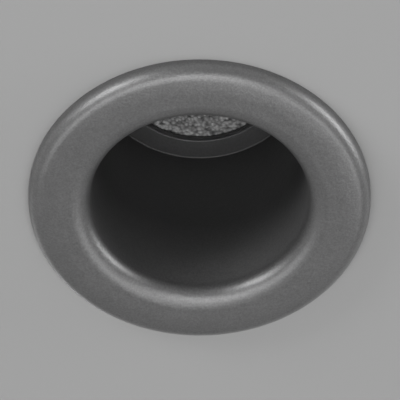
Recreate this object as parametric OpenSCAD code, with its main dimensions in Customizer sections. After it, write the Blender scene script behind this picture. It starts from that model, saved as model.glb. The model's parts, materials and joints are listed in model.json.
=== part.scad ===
// Deep recessed ceiling light: a round trim with a long anti-glare throat, a sealed
// LED engine behind a pebbled lens, a finned heat sink, a cable gland and two sprung clips.
// The frame is the installed light: +Z points up into the ceiling, and z = 0 is the
// underside of the ceiling, where the back of the trim seats. All sizes are millimetres.

/* [Trim] */
// Outside diameter of the trim
trim_d = 90; // [88:1:100]
// Height that the trim face stands below the ceiling
trim_drop = 5.5; // [5.1:0.1:6]
// Radius of the rounded outer edge
edge_r = 4.2; // [3.4:0.1:4.5]
// Radius of the gentle crown next to the outer edge
crown_r = 28; // [22:1:36]
// Angle through which the crown falls away
crown_angle = 10; // [7:1:12]
// Radius of the bullnose where it leaves the face
nose_r = 6.1; // [5.8:0.1:6.6]
// Angle through which it bends before it turns tighter
nose_angle = 30; // [20:1:40]
// Radius of the bullnose where it turns up into the mouth
mouth_nose_r = 4.7; // [4.2:0.1:5.2]
// How much wider the mouth is than the throat
mouth_flare = 0.75; // [0.5:0.05:0.8]
// Height above the ceiling's underside that the flare reaches
flare_h = 9; // [7:0.5:12]
// Wall of the throat tube
tube_wall = 2; // [1.8:0.1:2.2]
// Number of gussets between the trim and the tube
gusset_count = 8; // [4:2:12]
// Thickness of a gusset
gusset_t = 1.8; // [1.2:0.1:2.4]
// Height of a gusset
gusset_h = 7; // [4:0.5:9]
// Width of trim that shows outside the seal
gasket_rim = 2.1; // [1.8:0.1:2.4]
// Width of the seal under the trim
gasket_w = 3.4; // [2:0.1:3.6]
// Depth of the groove that holds the seal
gasket_t = 1.4; // [1:0.1:1.8]

/* [Ceiling] */
// Width of ceiling between the seal and the hole that the light passes through
gasket_inset = 1.5; // [1:0.1:1.8]

/* [Lens and bezel] */
// Distance from the ceiling up to the face of the lens bezel
recess_depth = 53.3; // [45:0.1:60]
// Thickness of the bezel lip
lip_t = 1.2; // [1:0.1:2]
// Opening in the bezel lip
lip_d = 44.2; // [40:0.2:46]
// Round-over on both edges of the bezel face
lip_edge = 0.35; // [0.2:0.05:0.5]
// Height of the close-fitting band at the foot of the bezel
bezel_band_h = 5; // [3:0.5:8]
// Depth that the bezel is relieved above that band
bezel_relief = 0.6; // [0.3:0.1:0.9]
// Width of the lens seal that shows inside the lip
seal_shows = 0.6; // [0.3:0.1:0.8]
// Width of lens that the lip covers
lip_cover = 2.9; // [2:0.1:3.5]
// Wall of the bezel round the lens
bezel_wall = 2.7; // [2.4:0.1:3]
// Thickness of the lens
lens_t = 3; // [2:0.1:4]
// Thickness of the lens seal
lens_seal_t = 0.6; // [0.4:0.1:1]
// Thickness of the bezel flange
bezel_flange_t = 3; // [2.5:0.1:4]

/* [Reflector and LED] */
// Height of the reflector
reflector_h = 15; // [13:0.5:18]
// Wall of the reflector
reflector_wall = 1.1; // [0.9:0.1:1.3]
// Diameter of the small end of the reflector
reflector_neck_d = 14; // [13:0.5:15]
// Thickness of the LED holder
holder_t = 3; // [2.8:0.1:3.6]
// Diameter of the LED holder
holder_d = 30; // [29:0.5:32]
// Side of the square LED board
board_side = 13.5; // [12:0.1:14]
// Thickness of the LED board
board_t = 1.2; // [1:0.1:1.5]
// Diameter of the light-emitting spot
phosphor_d = 9; // [7:0.5:9.5]
// Height of the light-emitting spot
phosphor_t = 0.5; // [0.4:0.1:0.7]
// Thickness of the thermal pad
pad_t = 0.3; // [0.2:0.1:0.5]

/* [Heat sink] */
// Thickness of the heat sink base
base_t = 5; // [4:0.5:6]
// Height of the fins
fin_h = 32; // [24:1:44]
// Number of fins
fin_count = 24; // [18:2:28]
// Thickness of a fin
fin_t = 1.6; // [1.2:0.1:2]
// Diameter over the fins
fin_d = 63; // [60:1:64]
// Width of the base's rim outside the fins
fin_inset = 0.3; // [0.2:0.1:0.6]
// Diameter of the solid core
core_d = 18; // [14:1:20]
// Thickness of the gasket under the heat sink
base_gasket_t = 1; // [0.8:0.1:1.5]

/* [Screws that hold the engine] */
// Number of engine screws
engine_screw_count = 3; // [3:1:6]
// Shank diameter of an engine screw
engine_screw_d = 3; // [2.5:0.1:3]
// Depth of thread in the housing lugs
engine_screw_bite = 7; // [5:0.5:9]
// Outside radius of a lug
lug_r = 3.3; // [3.1:0.1:3.5]
// Height of a housing lug
lug_h = 17; // [16:0.5:20]

/* [Cable gland] */
// Distance of the gland from the centre
gland_offset = 15; // [14:0.5:16]
// Diameter of the cable that the gland takes
cable_d = 6.5; // [5.5:0.1:6.8]
// Thread diameter of the gland
gland_thread_d = 12; // [11.5:0.5:12.5]
// Length of the thread in the heat sink
gland_thread_l = 8; // [6:0.5:10]
// Width of the gland body across its flats
gland_flats = 16; // [15.5:0.5:17]
// Height of the hexagon of the gland body
gland_hex_h = 5; // [4:0.5:6]
// Height of the domed nut
gland_nut_h = 12; // [11:0.5:14]
// Thickness of the washer under the gland
gland_washer_t = 1.2; // [1:0.1:1.6]
// Width of the washer's ring
gland_washer_w = 1.6; // [1.2:0.1:2]
// Wall of the gland's rubber bush
gland_seal_wall = 1.3; // [1.1:0.1:1.4]

/* [Spring clips] */
// Height of the hinge above the ceiling's underside
hinge_z = 16; // [15:0.5:18]
// Length of the clip arm from the hinge
arm_l = 28; // [24:0.5:29]
// Angle of the resting arm below the horizontal
arm_rest_angle = 15; // [12:0.5:17]
// Sheet thickness of the clip arm
arm_t = 1; // [0.8:0.1:1.1]
// Width of the clip arm at the hinge
arm_w = 10; // [9.4:0.2:11]
// Width of the clip arm at its foot
arm_tip_w = 7; // [6:0.5:8]
// Height of the foot at the end of the arm
foot_h = 2.2; // [1.6:0.1:2.6]
// Wall of the soft pad on the foot
pad_wall = 0.6; // [0.5:0.1:0.8]
// Diameter of the hinge pin
pin_d = 2.2; // [2:0.05:2.3]
// Sheet thickness of the bracket
bracket_t = 1; // [0.8:0.1:1.2]
// Height of the bracket plate
bracket_h = 24; // [23:0.5:26]
// Wire diameter of the torsion spring
wire_d = 0.8; // [0.7:0.05:0.85]
// Full turns of the torsion spring
spring_turns = 4; // [3:1:4]
// Length of each spring leg
spring_leg = 7; // [5:0.5:8]
// Shank diameter of a bracket screw
bracket_screw_d = 2.5; // [2:0.1:2.5]

/* [Clearances] */
// Gap round pieces that drop into one another
fit_gap = 0.15; // [0.1:0.05:0.25]
// Radial running clearance of the hinge pin
pin_gap = 0.05; // [0.03:0.01:0.08]
// Gap between moving pieces and their stops
stop_gap = 0.1; // [0.08:0.01:0.2]

/* [Hidden] */
$fn = 96;
EPS = 0.01;

// Radii from the lip's opening out to the tube: each piece takes its size from the one inside it
lip_r = lip_d / 2;
lens_r = lip_r + lip_cover;
bezel_bore_r = lens_r + fit_gap;
bezel_r = bezel_bore_r + bezel_wall;
throat_r = bezel_r + fit_gap;
tube_r = throat_r + tube_wall;

// Radii from the trim's edge in to the hole in the ceiling
trim_r = trim_d / 2;
gasket_outer_r = trim_r - gasket_rim;
gasket_inner_r = gasket_outer_r - gasket_w;
cutout_r = gasket_inner_r - gasket_inset;

// Heights of the stack behind the lens, from the bezel face up
lip_top_z = recess_depth + lip_t;
lens_z = lip_top_z + lens_seal_t;
lens_top_z = lens_z + lens_t;
holder_z = lens_top_z + reflector_h;
sink_z = holder_z + holder_t;
tube_top_z = sink_z - base_gasket_t - bezel_flange_t;
fin_z = sink_z + base_t;
sink_top_z = fin_z + fin_h;

// Engine screws stand on one circle, just outside the tube wall
engine_screw_r = engine_screw_d / 2;
screw_circle_r = tube_r + engine_screw_r + 1.9;
fin_outer_r = fin_d / 2;
engine_r = fin_outer_r + fin_inset;
engine_head_r = engine_screw_d * 0.92;
engine_head_h = engine_screw_d * 0.8;
first_screw_angle = 30;
lug_slope = 40;

// Overshoot of a cut past the face that it opens, and depth that a fused feature is buried
OVER = 1;
BURY = 0.5;

function direction(angle) = [cos(angle), sin(angle)];

// Corner where the straight lines meet that an arc between two angles rounds off
function arc_corner(centre, radius, from, to) =
    centre + radius / cos((to - from) / 2) * direction((from + to) / 2);

// Outline that rounds a convex corner when it is cut away: all outside the arc between two angles
module corner_waste(centre, radius, from, to) {
    reach = radius + OVER;
    difference() {
        polygon([
            centre,
            centre + reach * direction(from),
            arc_corner(centre, reach, from, to),
            centre + reach * direction(to)
        ]);
        translate(centre)
            circle(r = radius);
    }
}

module at_engine_screws() {
    for (i = [0 : engine_screw_count - 1])
        rotate([0, 0, first_screw_angle + i * 360 / engine_screw_count])
            translate([screw_circle_r, 0, 0])
                children();
}

// A ring between two radii and two heights
module ring(outer, inner, low, high) {
    difference() {
        bar(outer, low, high);
        bar(inner, low - OVER, high + OVER);
    }
}

// A cylinder between two heights
module bar(r, low, high) {
    translate([0, 0, low])
        cylinder(r = r, h = high - low);
}

// Lugs that carry the engine screws, from the wall at wall_r out
module lugs(wall_r, low, high) {
    at_engine_screws()
        translate([0, 0, low]) {
            cylinder(r = lug_r, h = high - low);
            translate([wall_r - screw_circle_r, -lug_r, 0])
                cube([screw_circle_r - wall_r, 2 * lug_r, high - low]);
        }
}

// Trim and throat, one casting
crown_start_r = trim_r - edge_r - (crown_r - edge_r) * sin(crown_angle);
crown_centre = [crown_start_r, crown_r - trim_drop];
edge_centre = crown_centre + (crown_r - edge_r) * direction(270 + crown_angle);
mouth_r = throat_r + mouth_flare;
nose_start_r = mouth_r + mouth_nose_r + (nose_r - mouth_nose_r) * sin(nose_angle);
nose_centre = [nose_start_r, nose_r - trim_drop];
mouth_centre = nose_centre + (nose_r - mouth_nose_r) * direction(270 - nose_angle);
root_r = 1.2;
root_centre = [tube_r + root_r, root_r];
gusset_toe_h = 0.8;
gusset_top_w = 1.3;
gusset_reach = cutout_r - tube_r - 2;
bracket_pad_x = tube_r + 0.8;
bracket_pad_w = 15;
bracket_pad_edge = 1;
bracket_low_z = hinge_z - bracket_h / 2 + 1;

module trim_profile() {
    difference() {
        polygon([
            [throat_r, tube_top_z], [throat_r, flare_h], [mouth_r, mouth_centre.y],
            arc_corner(mouth_centre, mouth_nose_r, 180, 270 - nose_angle),
            arc_corner(nose_centre, nose_r, 270 - nose_angle, 270),
            arc_corner(crown_centre, crown_r, 270, 270 + crown_angle),
            arc_corner(edge_centre, edge_r, 270 + crown_angle, 360), [trim_r, 0],
            [gasket_outer_r, 0], [gasket_outer_r, -gasket_t],
            [gasket_inner_r, -gasket_t], [gasket_inner_r, 0],
            [tube_r, 0], [tube_r, tube_top_z]
        ]);
        corner_waste(mouth_centre, mouth_nose_r, 180, 270 - nose_angle);
        corner_waste(nose_centre, nose_r, 270 - nose_angle, 270);
        corner_waste(crown_centre, crown_r, 270, 270 + crown_angle);
        corner_waste(edge_centre, edge_r, 270 + crown_angle, 360);
    }
    difference() {
        translate([tube_r - BURY, -BURY])
            square(root_r + BURY);
        translate(root_centre)
            circle(r = root_r);
    }
}

module gussets() {
    for (i = [0 : gusset_count - 1])
        rotate([90, 0, (i + 0.5) * 360 / gusset_count])
            translate([tube_r, 0, -gusset_t / 2])
                linear_extrude(gusset_t)
                    polygon([
                        [-BURY, -BURY], [gusset_reach, -BURY], [gusset_reach, gusset_toe_h],
                        [gusset_top_w, gusset_h], [-BURY, gusset_h]
                    ]);
}

// Flat pads on both sides of the tube for the clip brackets
module bracket_pads() {
    for (side = [LEFT, RIGHT])
        rotate([0, 0, side])
            translate([throat_r, -bracket_pad_w / 2, bracket_low_z - bracket_pad_edge])
                cube([bracket_pad_x - throat_r, bracket_pad_w, bracket_h + 2 * bracket_pad_edge]);
}

module bracket_screw_holes() {
    for (side = [LEFT, RIGHT])
        rotate([0, 0, side])
            for (z = bracket_screw_zs)
                translate([bracket_pad_x - bracket_screw_bite - 0.2, 0, z])
                    rotate([0, 90, 0])
                        cylinder(d = bracket_screw_d, h = bracket_screw_bite + OVER);
}

// Waste under each lug, so that its foot slopes into the tube wall
module lug_foot_waste() {
    at_engine_screws()
        translate([-lug_r - OVER, -lug_r - OVER, tube_top_z - lug_h])
            rotate([0, -lug_slope, 0])
                translate([0, 0, -lug_h])
                    cube([4 * lug_r, 2 * (lug_r + OVER), lug_h]);
}

module trim_housing() {
    color("dimgray")
        difference() {
            union() {
                rotate_extrude()
                    trim_profile();
                difference() {
                    union() {
                        difference() {
                            lugs(tube_r - BURY, tube_top_z - lug_h, tube_top_z);
                            lug_foot_waste();
                        }
                        bracket_pads();
                    }
                    bar(mouth_r + BURY, -OVER, tube_top_z + OVER);
                }
                gussets();
            }
            at_engine_screws()
                bar(engine_screw_r, tube_top_z - engine_screw_bite - OVER, tube_top_z + OVER);
            bracket_screw_holes();
        }
}

// Closed-cell seal, pressed flush into its groove
module ceiling_gasket() {
    color("black")
        ring(gasket_outer_r - fit_gap, gasket_inner_r + fit_gap, -gasket_t, 0);
}

// Bezel cup that carries the lens, clamped between the tube and the heat sink
bezel_top_z = tube_top_z + bezel_flange_t;
band_top_z = recess_depth + bezel_band_h;
rounding_z = recess_depth + lip_edge;

module bezel_profile() {
    difference() {
        polygon([
            [lip_r, recess_depth], [bezel_r, recess_depth], [bezel_r, band_top_z],
            [bezel_r - bezel_relief, band_top_z + bezel_relief], [bezel_r - bezel_relief, tube_top_z],
            [engine_r, tube_top_z], [engine_r, bezel_top_z], [bezel_bore_r, bezel_top_z],
            [bezel_bore_r, lip_top_z], [lip_r, lip_top_z]
        ]);
        corner_waste([lip_r + lip_edge, rounding_z], lip_edge, 180, 270);
        corner_waste([bezel_r - lip_edge, rounding_z], lip_edge, 270, 360);
    }
}

module lens_bezel() {
    color("darkslategray")
        difference() {
            union() {
                rotate_extrude()
                    bezel_profile();
                lugs(engine_r - BURY, tube_top_z, bezel_top_z);
            }
            at_engine_screws()
                bar(engine_screw_r + fit_gap, tube_top_z - OVER, bezel_top_z + OVER);
        }
}

module lens_seal() {
    color("black")
        ring(lens_r, lip_r - seal_shows, lip_top_z, lens_z);
}

// Lens with a ground edge and chamfered rims
lens_chamfer = 0.4;

module lens() {
    color("gainsboro")
        rotate_extrude()
            polygon([
                [0, lens_z], [lens_r - lens_chamfer, lens_z], [lens_r, lens_z + lens_chamfer],
                [lens_r, lens_top_z - lens_chamfer], [lens_r - lens_chamfer, lens_top_z],
                [0, lens_top_z]
            ]);
}

// Bell-shaped reflector: its rim holds the lens down, its neck meets the LED holder
reflector_rim_t = 1.4;
reflector_rim_w = 2.2;
reflector_neck_r = reflector_neck_d / 2;
reflector_mouth_r = lens_r - reflector_rim_w;
BELL_STEPS = 12;
BELL_POWER = 2.2;

function bell_r(t) =
    reflector_neck_r + (reflector_mouth_r - reflector_neck_r) * (1 - pow(t, BELL_POWER));

function bell(offset) = [
    for (i = [0 : BELL_STEPS])
        [bell_r(i / BELL_STEPS) + offset, lens_top_z + reflector_h * i / BELL_STEPS]
];

function reversed(list) = [for (i = [len(list) - 1 : -1 : 0]) list[i]];

module reflector() {
    color("silver")
        union() {
            rotate_extrude()
                polygon(concat(bell(0), reversed(bell(reflector_wall))));
            ring(lens_r, reflector_mouth_r + reflector_wall / 2, lens_top_z, lens_top_z + reflector_rim_t);
        }
}

// LED holder: a moulded disc with a pocket for the board, a cone round the light
// and two wire entries that face the cable gland
holder_r = holder_d / 2;
board_gap = 0.1;
holder_screw_r = 1.25;
holder_screw_bite = 3;
holder_head_r = 2.2;
holder_head_h = 1.2;
holder_screw_circle = board_side / sqrt(2) + holder_head_r - 0.2;
HOLDER_SCREW_ANGLES = [45, 225];
board_z = sink_z - pad_t - board_t;
aperture_r = phosphor_d / 2 + 0.35;
wire_entry_x = 3;
wire_entry = [2.2, 4, 1.4];

module at_holder_screws() {
    for (a = HOLDER_SCREW_ANGLES)
        rotate([0, 0, a])
            translate([holder_screw_circle, 0, 0])
                children();
}

module led_holder() {
    pocket = board_side + 2 * board_gap;
    color("ivory")
        difference() {
            bar(holder_r, holder_z, sink_z);
            translate([0, 0, holder_z])
                cylinder(r1 = reflector_neck_r, r2 = aperture_r, h = board_z - holder_z);
            bar(aperture_r, board_z - EPS, sink_z);
            translate([-pocket / 2, -pocket / 2, board_z])
                cube([pocket, pocket, holder_t]);
            at_holder_screws() {
                bar(holder_screw_r + board_gap, holder_z - OVER, sink_z + OVER);
                bar(holder_head_r + board_gap, holder_z - OVER, holder_z + holder_head_h);
            }
            for (x = [-wire_entry_x, wire_entry_x])
                translate([x, holder_r, holder_z + holder_t / 2])
                    cube([wire_entry.x, 2 * wire_entry.y, wire_entry.z], center = true);
        }
}

module holder_screws() {
    color("silver")
        at_holder_screws() {
            bar(holder_head_r, holder_z, holder_z + holder_head_h);
            bar(holder_screw_r, holder_z + BURY, sink_z + holder_screw_bite);
        }
}

module led_board() {
    color("whitesmoke")
        translate([-board_side / 2, -board_side / 2, board_z])
            cube([board_side, board_side, board_t]);
}

module led_phosphor() {
    color("gold")
        bar(phosphor_d / 2, board_z - phosphor_t, board_z);
}

module thermal_pad() {
    color("gray")
        translate([-board_side / 2, -board_side / 2, sink_z - pad_t])
            cube([board_side, board_side, pad_t]);
}

module base_gasket() {
    color("black")
        difference() {
            union() {
                ring(engine_r, bezel_bore_r, bezel_top_z, sink_z);
                lugs(engine_r - BURY, bezel_top_z, sink_z);
            }
            at_engine_screws()
                bar(engine_screw_r + fit_gap, bezel_top_z - OVER, sink_z + OVER);
        }
}

// Heat sink: a base disc, a core, radial fins and a column for the cable
fin_chamfer = 3;
core_r = core_d / 2;
gland_thread_r = gland_thread_d / 2;
column_r = gland_thread_r + 2;
wire_way_r = 2.5;
screw_recess_gap = 0.6;

// The fins stop short of the screw heads
module fins() {
    linear_extrude(fin_h)
        difference() {
            union() {
                circle(r = core_r);
                for (i = [0 : fin_count - 1])
                    rotate(i * 360 / fin_count)
                        translate([0, -fin_t / 2])
                            square([fin_outer_r + OVER, fin_t]);
            }
            at_engine_screws()
                circle(r = engine_head_r + screw_recess_gap);
        }
}

// Solid that the fins stay within: a cylinder with its upper rim bevelled
module fin_envelope() {
    bar(fin_outer_r, fin_z - OVER, sink_top_z - fin_chamfer);
    translate([0, 0, sink_top_z - fin_chamfer])
        cylinder(r1 = fin_outer_r, r2 = fin_outer_r - fin_chamfer, h = fin_chamfer);
}

module heat_sink() {
    color("darkgray")
        difference() {
            union() {
                bar(engine_r, sink_z, fin_z);
                lugs(engine_r - BURY, sink_z, fin_z);
                intersection() {
                    translate([0, 0, fin_z])
                        fins();
                    fin_envelope();
                }
                at_gland()
                    bar(column_r, fin_z - BURY, sink_top_z);
            }
            at_engine_screws()
                bar(engine_screw_r + fit_gap, sink_z - OVER, fin_z + OVER);
            at_holder_screws()
                bar(holder_screw_r, sink_z - OVER, sink_z + holder_screw_bite + 0.3);
            at_gland() {
                bar(wire_way_r, sink_z - OVER, sink_top_z);
                bar(gland_thread_r, sink_top_z - gland_thread_l - OVER, sink_top_z + OVER);
            }
        }
}

// Cap screws with a hexagon socket
module heat_sink_screws() {
    color("silver")
        at_engine_screws()
            difference() {
                union() {
                    bar(engine_screw_r, tube_top_z - engine_screw_bite, fin_z + BURY);
                    bar(engine_head_r, fin_z, fin_z + engine_head_h);
                }
                translate([0, 0, fin_z + engine_head_h / 2])
                    cylinder(r = engine_screw_r * 0.8, h = engine_head_h, $fn = 6);
            }
}

// Cable gland: washer, hexagon body, rubber bush and domed nut
gland_hex_z = sink_top_z + gland_washer_t;
gland_stud_z = gland_hex_z + gland_hex_h;
gland_stud_h = 5;
gland_flank_gap = 0.05;
gland_stud_r = gland_thread_r - 0.2;
gland_corner_r = gland_flats / sqrt(3);
washer_bore_r = gland_thread_r + 0.1;
cable_r = cable_d / 2;
passage_r = cable_r + 0.3;
bush_r = cable_r + gland_seal_wall;
bush_z = gland_stud_z + 1;
bush_h = 6.5;
nut_z = gland_stud_z + 0.3;
nut_top_z = nut_z + gland_nut_h;
dome_r = 6.5;

module at_gland() {
    translate([0, gland_offset, 0])
        children();
}

module gland_washer() {
    color("black")
        at_gland()
            ring(washer_bore_r + gland_washer_w, washer_bore_r, sink_top_z, gland_hex_z);
}

module hexagon(flats, low, high) {
    translate([0, 0, low])
        cylinder(r = flats / sqrt(3), h = high - low, $fn = 6);
}

module gland_body() {
    color("darkslategray")
        at_gland()
            difference() {
                union() {
                    bar(gland_thread_r - gland_flank_gap, sink_top_z - gland_thread_l, gland_hex_z + BURY);
                    intersection() {
                        hexagon(gland_flats, gland_hex_z, gland_stud_z);
                        translate([0, 0, gland_hex_z])
                            cylinder(r1 = gland_corner_r + 1, r2 = gland_corner_r - 0.6, h = gland_hex_h);
                    }
                    bar(gland_stud_r, gland_stud_z - BURY, gland_stud_z + gland_stud_h);
                }
                bar(passage_r, sink_top_z - gland_thread_l - OVER, gland_stud_z + gland_stud_h + OVER);
                bar(bush_r, bush_z, gland_stud_z + gland_stud_h + OVER);
            }
}

module gland_seal() {
    color("black")
        at_gland()
            ring(bush_r, cable_r, bush_z, bush_z + bush_h);
}

module nut_dome_profile() {
    shoulder_r = gland_flats / 2 - dome_r + 1.6;
    translate([0, nut_z])
        square([gland_corner_r + 1, gland_nut_h - dome_r]);
    translate([0, nut_z])
        square([shoulder_r, gland_nut_h]);
    intersection() {
        translate([shoulder_r, nut_top_z - dome_r])
            circle(r = dome_r);
        translate([shoulder_r - BURY, nut_top_z - dome_r - BURY])
            square(dome_r + OVER);
    }
}

module gland_nut() {
    color("darkslategray")
        at_gland()
            difference() {
                intersection() {
                    hexagon(gland_flats, nut_z, nut_top_z);
                    rotate_extrude()
                        nut_dome_profile();
                }
                bar(passage_r, nut_z - OVER, nut_top_z + OVER);
                bar(gland_thread_r, nut_z - OVER, bush_z + bush_h);
            }
}

// Spring clips: one on each side of the tube, turned about a pin along Y.
// The pieces are drawn for the right side, with the hinge at the local origin.
bracket_face_x = bracket_pad_x + bracket_t;
pin_r = pin_d / 2;
eye_r = pin_r + pin_gap + 0.95;
spring_r = pin_r + wire_d / 2 + 0.25;
hinge_x = bracket_face_x + max(spring_r + wire_d / 2, eye_r) + stop_gap;
web_top = -(max(spring_r + wire_d / 2, eye_r) + stop_gap);
web_low = web_top - arm_t;
ear_gap = 0.3;
ear_in = arm_w / 2 + ear_gap;
ear_out = ear_in + bracket_t;
ear_r = eye_r + 0.2;
ear_reach = bracket_face_x - hinge_x;
arm_heel = (-ear_reach - stop_gap + web_low * sin(arm_rest_angle)) / cos(arm_rest_angle);
bracket_screw_r = bracket_screw_d / 2;
bracket_head_r = bracket_screw_d * 0.9;
bracket_head_h = 1.3;
bracket_screw_bite = 2;
bracket_screw_inset = 3.2;
bracket_screw_zs = [
    bracket_low_z + bracket_screw_inset, bracket_low_z + bracket_h - bracket_screw_inset
];
RIGHT = 0;
LEFT = 180;

module at_hinge(side) {
    rotate([0, 0, side])
        translate([hinge_x, 0, hinge_z])
            children();
}

// A cylinder along Y between two places
module y_bar(r, from, to) {
    translate([0, from, 0])
        rotate([-90, 0, 0])
            cylinder(r = r, h = to - from);
}

module clip_bracket(side) {
    color("lightsteelblue")
        at_hinge(side)
            difference() {
                union() {
                    translate([ear_reach - bracket_t, -ear_out, bracket_low_z - hinge_z])
                        cube([bracket_t, 2 * ear_out, bracket_h]);
                    for (flip = [0, 1])
                        mirror([0, flip, 0]) {
                            translate([ear_reach - bracket_t / 2, ear_in, -ear_r])
                                cube([bracket_t / 2 - ear_reach, bracket_t, 2 * ear_r]);
                            y_bar(ear_r, ear_in, ear_out);
                        }
                }
                y_bar(pin_r + pin_gap, -ear_out - OVER, ear_out + OVER);
                for (z = bracket_screw_zs)
                    translate([ear_reach - bracket_t - OVER, 0, z - hinge_z])
                        rotate([0, 90, 0])
                            cylinder(r = bracket_screw_r + board_gap, h = bracket_t + 2 * OVER);
            }
}

module bracket_screws(side) {
    shank_l = bracket_t + bracket_screw_bite;
    color("silver")
        at_hinge(side)
            for (z = bracket_screw_zs)
                translate([ear_reach, 0, z - hinge_z])
                    rotate([0, 90, 0])
                        difference() {
                            union() {
                                bar(bracket_screw_r, -shank_l, BURY);
                                cylinder(r1 = bracket_head_r, r2 = bracket_head_r - 0.5, h = bracket_head_h);
                            }
                            translate([0, 0, bracket_head_h / 2])
                                cylinder(r = bracket_screw_r * 0.7, h = bracket_head_h, $fn = 6);
                        }
}

pin_head_t = 0.8;
pin_head_rim = 0.7;
pin_groove_t = 0.6;
pin_groove_deep = 0.3;
pin_tail = ear_out + 0.2;
pin_end = pin_tail + pin_groove_t + 0.7;
ring_gap = 0.05;

module clip_pin(side) {
    color("silver")
        at_hinge(side)
            difference() {
                union() {
                    y_bar(pin_r, -ear_out - stop_gap, pin_end);
                    y_bar(pin_r + pin_head_rim, -ear_out - stop_gap - pin_head_t, -ear_out - stop_gap);
                }
                difference() {
                    y_bar(pin_r + OVER, pin_tail, pin_tail + pin_groove_t);
                    y_bar(pin_r - pin_groove_deep, pin_tail - OVER, pin_end);
                }
            }
}

// Open retaining ring in the groove of the pin
module pin_ring(side) {
    slot_w = pin_r;
    color("dimgray")
        at_hinge(side)
            difference() {
                y_bar(pin_r + 0.8, pin_tail + ring_gap, pin_tail + pin_groove_t - ring_gap);
                y_bar(pin_r - pin_groove_deep + ring_gap / 2, pin_tail - OVER, pin_end);
                translate([-slot_w / 2, pin_tail - OVER, -2 * pin_r])
                    cube([slot_w, 2 * OVER + pin_groove_t, 2 * pin_r]);
            }
}

// Pressed channel arm: web, two side flanges with hinge eyes, and a turned-down foot
flange_tip_h = 1.2;
ARM_WAIST = 0.3;

module arm_side_outline() {
    difference() {
        union() {
            polygon([
                [-arm_heel, web_low], [arm_l, web_low], [arm_l, web_top + flange_tip_h],
                [eye_r * 1.2, eye_r * 0.55], [0, eye_r * 0.8], [-eye_r * 0.9, 0]
            ]);
            circle(r = eye_r);
        }
        circle(r = pin_r + pin_gap);
    }
}

// Outline of the arm seen from above, drawn in by a wall; it runs on past the heel
module arm_plan(wall) {
    back = -arm_heel - arm_w;
    waist = arm_l * ARM_WAIST;
    polygon([
        [back, wall - arm_w / 2], [waist, wall - arm_w / 2], [arm_l, wall - arm_tip_w / 2],
        [arm_l, arm_tip_w / 2 - wall], [waist, arm_w / 2 - wall], [back, arm_w / 2 - wall]
    ]);
}

module arm_shape() {
    difference() {
        intersection() {
            translate([0, arm_w, 0])
                rotate([90, 0, 0])
                    linear_extrude(2 * arm_w)
                        arm_side_outline();
            translate([0, 0, -arm_w])
                linear_extrude(2 * arm_w)
                    arm_plan(0);
        }
        translate([0, 0, web_top])
            linear_extrude(arm_w) {
                arm_plan(arm_t);
                translate([arm_l - OVER, arm_t - arm_tip_w / 2])
                    square([2 * OVER, arm_tip_w - 2 * arm_t]);
            }
    }
    translate([arm_l - arm_t, -arm_tip_w / 2, web_low - foot_h])
        cube([arm_t, arm_tip_w, foot_h + arm_t / 2]);
}

module at_arm(side) {
    at_hinge(side)
        rotate([0, arm_rest_angle, 0])
            children();
}

module clip_arm(side) {
    color("lightsteelblue")
        at_arm(side)
            arm_shape();
}

// A block round the foot of the arm, grown on every side by some amount
module foot_block(grow, h) {
    translate([arm_l - arm_t - grow, -arm_tip_w / 2 - grow, web_low - foot_h - grow])
        cube([arm_t + 2 * grow, arm_tip_w + 2 * grow, h + grow]);
}

// Soft pad pushed over the foot
module arm_pad(side) {
    color("dimgray")
        at_arm(side)
            difference() {
                foot_block(pad_wall, foot_h - board_gap);
                foot_block(ring_gap / 2, foot_h + OVER);
            }
}

// Torsion spring: a leg up the bracket, turns round the pin, and a leg along the arm's web
spring_side_gap = 0.9;
spring_end_y = arm_w / 2 - arm_t - wire_d / 2 - spring_side_gap;
spring_sweep = 360 * spring_turns + 90 - arm_rest_angle;
COIL_START = 180;
TURN_STEPS = 8;
WIRE_SIDES = 6;

function coil_point(turned, y) =
    [spring_r * cos(COIL_START + turned), y, spring_r * sin(COIL_START + turned)];

function spring_path() =
    let (
        steps = ceil(spring_sweep / 360 * TURN_STEPS),
        out = [cos(arm_rest_angle), 0, -sin(arm_rest_angle)],
        last = coil_point(spring_sweep, spring_end_y)
    )
    concat(
        [[-spring_r, -spring_end_y, spring_leg], [-spring_r, -spring_end_y, spring_leg / 2]],
        [
            for (i = [0 : steps])
                coil_point(spring_sweep * i / steps, spring_end_y * (2 * i / steps - 1))
        ],
        [last + out * spring_leg / 2, last + out * spring_leg]
    );

function unit(v) = v / norm(v);

function tangent(path, i) =
    unit(path[min(i + 1, len(path) - 1)] - path[max(i - 1, 0)]);

function wire_ring(p, t, r) =
    let (u = unit([0, 1, 0] - t[1] * t), w = cross(t, u))
    [for (k = [0 : WIRE_SIDES - 1]) p + r * (cos(k * 360 / WIRE_SIDES) * u + sin(k * 360 / WIRE_SIDES) * w)];

// Least distance between the surfaces of two turns, measured on the path's own points
function least_gap(path) =
    min([
        for (i = [0 : len(path) - 1])
            for (j = [i + TURN_STEPS / 2 : 1 : len(path) - 1])
                norm(path[i] - path[j])
    ]) - wire_d;

module wire(path, r) {
    n = len(path);
    s = WIRE_SIDES;
    polyhedron(
        points = [for (i = [0 : n - 1]) each wire_ring(path[i], tangent(path, i), r)],
        faces = concat(
            [for (k = [1 : s - 2]) [0, k, k + 1]],
            [for (k = [1 : s - 2]) [(n - 1) * s, (n - 1) * s + k + 1, (n - 1) * s + k]],
            [
                for (i = [0 : n - 2])
                    for (k = [0 : s - 1])
                        [i * s + k, (i + 1) * s + k, (i + 1) * s + (k + 1) % s]
            ],
            [
                for (i = [0 : n - 2])
                    for (k = [0 : s - 1])
                        [i * s + k, (i + 1) * s + (k + 1) % s, i * s + (k + 1) % s]
            ]
        )
    );
}

module clip_spring(side) {
    path = spring_path();
    echo(least_gap_between_turns = least_gap(path));
    color("silver")
        at_hinge(side)
            wire(path, wire_d / 2);
}

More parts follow.
